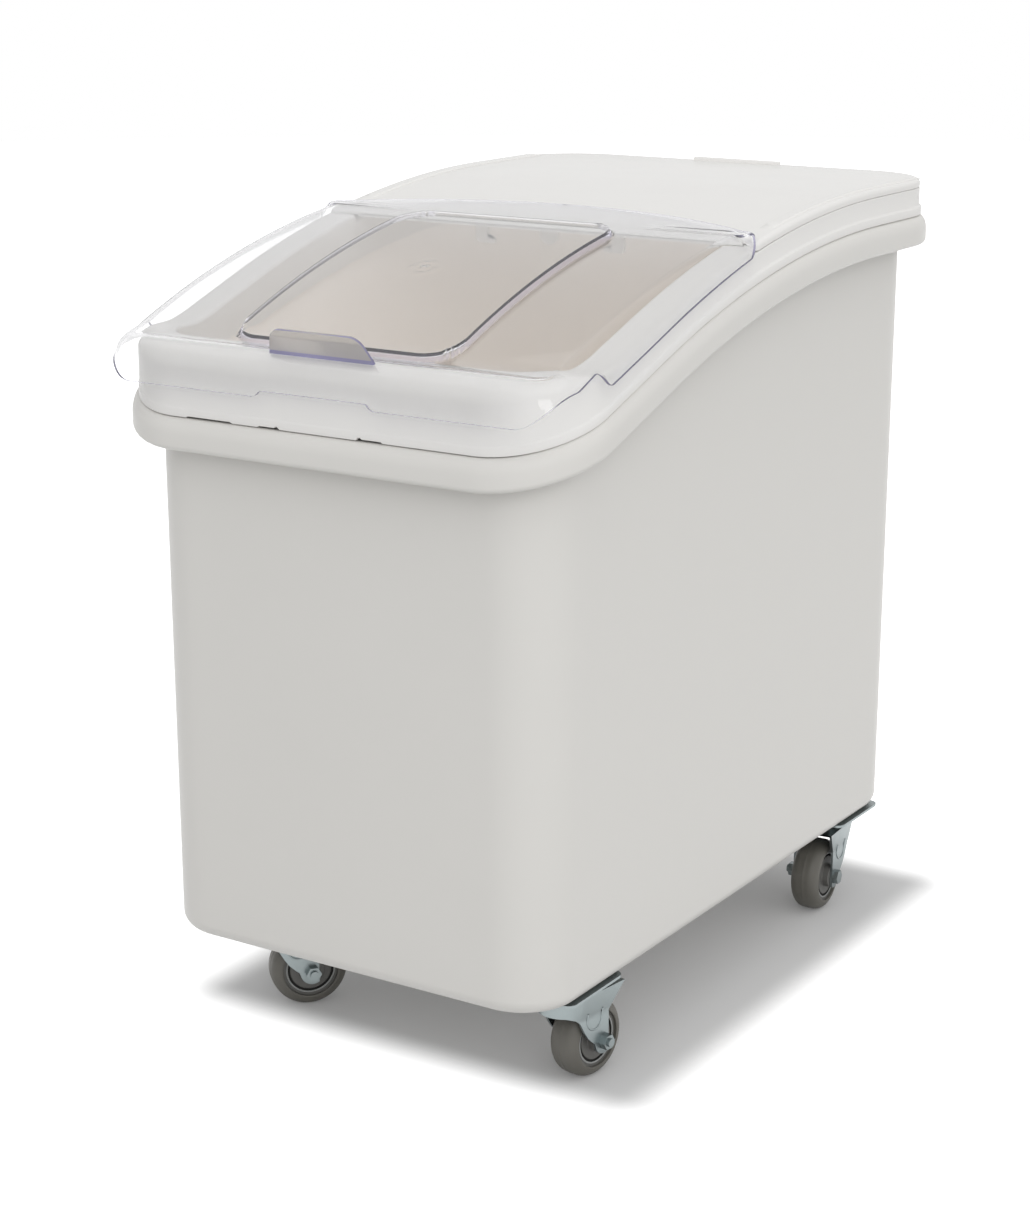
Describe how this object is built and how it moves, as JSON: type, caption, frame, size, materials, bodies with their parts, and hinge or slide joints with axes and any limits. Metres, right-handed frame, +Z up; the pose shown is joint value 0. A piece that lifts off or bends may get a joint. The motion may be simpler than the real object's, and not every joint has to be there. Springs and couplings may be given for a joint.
{
  "type": "rolling flour bin",
  "caption": "Deep white ingredient bin with a sloping rim, a white rear deck, a clear tip-up front lid with a finger tab, and swivel casters under the floor.",
  "frame": {"origin": "middle of the bin's length and width, on the floor that the wheels stand on", "axes": "+Z up, front towards -Y, +X to the right of someone who looks at the rear from the front"},
  "size_m": [0.4846, 0.7686, 0.7659],
  "materials": {
    "tub_white": "satin moulded",
    "lid_white": "glossy moulded",
    "clear_plastic": "clear polished",
    "zinc": "bright zinc plated",
    "bearing_steel": "polished",
    "core_grey": "moulded",
    "tread_grey": "smooth moulded"
  },
  "bodies": {
    "bin": {"bin_tub": "tub_white", "fl_top_plate": "zinc", "fl_kingpin": "zinc", "fl_plate_bolts": "zinc", "fl_plate_nuts": "zinc", "fr_top_plate": "zinc", "fr_kingpin": "zinc", "fr_plate_bolts": "zinc", "fr_plate_nuts": "zinc", "rl_top_plate": "zinc", "rl_kingpin": "zinc", "rl_plate_bolts": "zinc", "rl_plate_nuts": "zinc", "rr_top_plate": "zinc", "rr_kingpin": "zinc", "rr_plate_bolts": "zinc", "rr_plate_nuts": "zinc"},
    "lid": {"lid_frame": "lid_white", "rear_deck": "lid_white"},
    "front_lid": {"clear_lid": "clear_plastic"},
    "fl_swivel_body": {"fl_fork": "zinc", "fl_swivel_balls": "bearing_steel", "fl_axle_bolt": "zinc", "fl_axle_nut": "zinc", "fl_axle_sleeve": "bearing_steel"},
    "fl_wheel": {"fl_wheel_core": "core_grey", "fl_wheel_tread": "tread_grey"},
    "fr_swivel_body": {"fr_fork": "zinc", "fr_swivel_balls": "bearing_steel", "fr_axle_bolt": "zinc", "fr_axle_nut": "zinc", "fr_axle_sleeve": "bearing_steel"},
    "fr_wheel": {"fr_wheel_core": "core_grey", "fr_wheel_tread": "tread_grey"},
    "rl_swivel_body": {"rl_fork": "zinc", "rl_swivel_balls": "bearing_steel", "rl_axle_bolt": "zinc", "rl_axle_nut": "zinc", "rl_axle_sleeve": "bearing_steel"},
    "rl_wheel": {"rl_wheel_core": "core_grey", "rl_wheel_tread": "tread_grey"},
    "rr_swivel_body": {"rr_fork": "zinc", "rr_swivel_balls": "bearing_steel", "rr_axle_bolt": "zinc", "rr_axle_nut": "zinc", "rr_axle_sleeve": "bearing_steel"},
    "rr_wheel": {"rr_wheel_core": "core_grey", "rr_wheel_tread": "tread_grey"}
  },
  "joints": [
    {"name": "fl_swivel", "type": "hinge", "parent": "bin", "child": "fl_swivel_body", "pos_m": [-0.152, -0.258, 0], "axis": [0, 0, 1], "continuous": true},
    {"name": "fl_roll", "type": "hinge", "parent": "fl_swivel_body", "child": "fl_wheel", "pos_m": [-0.13143, -0.23349, 0.0375], "axis": [-0.766, 0.6428, 0], "continuous": true},
    {"name": "fr_swivel", "type": "hinge", "parent": "bin", "child": "fr_swivel_body", "pos_m": [0.173, -0.258, 0], "axis": [0, 0, 1], "continuous": true},
    {"name": "fr_roll", "type": "hinge", "parent": "fr_swivel_body", "child": "fr_wheel", "pos_m": [0.17745, -0.22631, 0.0375], "axis": [-0.9903, 0.1392, 0], "continuous": true},
    {"name": "rl_swivel", "type": "hinge", "parent": "bin", "child": "rl_swivel_body", "pos_m": [-0.152, 0.281, 0], "axis": [0, 0, 1], "continuous": true},
    {"name": "rl_roll", "type": "hinge", "parent": "rl_swivel_body", "child": "rl_wheel", "pos_m": [-0.16702, 0.25275, 0.0375], "axis": [0.8829, -0.4695, 0], "continuous": true},
    {"name": "rr_swivel", "type": "hinge", "parent": "bin", "child": "rr_swivel_body", "pos_m": [0.173, 0.281, 0], "axis": [0, 0, 1], "continuous": true},
    {"name": "rr_roll", "type": "hinge", "parent": "rr_swivel_body", "child": "rr_wheel", "pos_m": [0.17523, 0.24908, 0.0375], "axis": [0.9976, 0.0698, 0], "continuous": true},
    {"name": "lid_lift", "type": "slide", "parent": "bin", "child": "lid", "axis": [0, 0, 1], "range_m": [0, 0.15]},
    {"name": "front_lid_tilt", "type": "hinge", "parent": "lid", "child": "front_lid", "pos_m": [0, 0.025, 0.7492], "axis": [-1, 0, 0], "range_deg": [0, 80]}
  ]
}
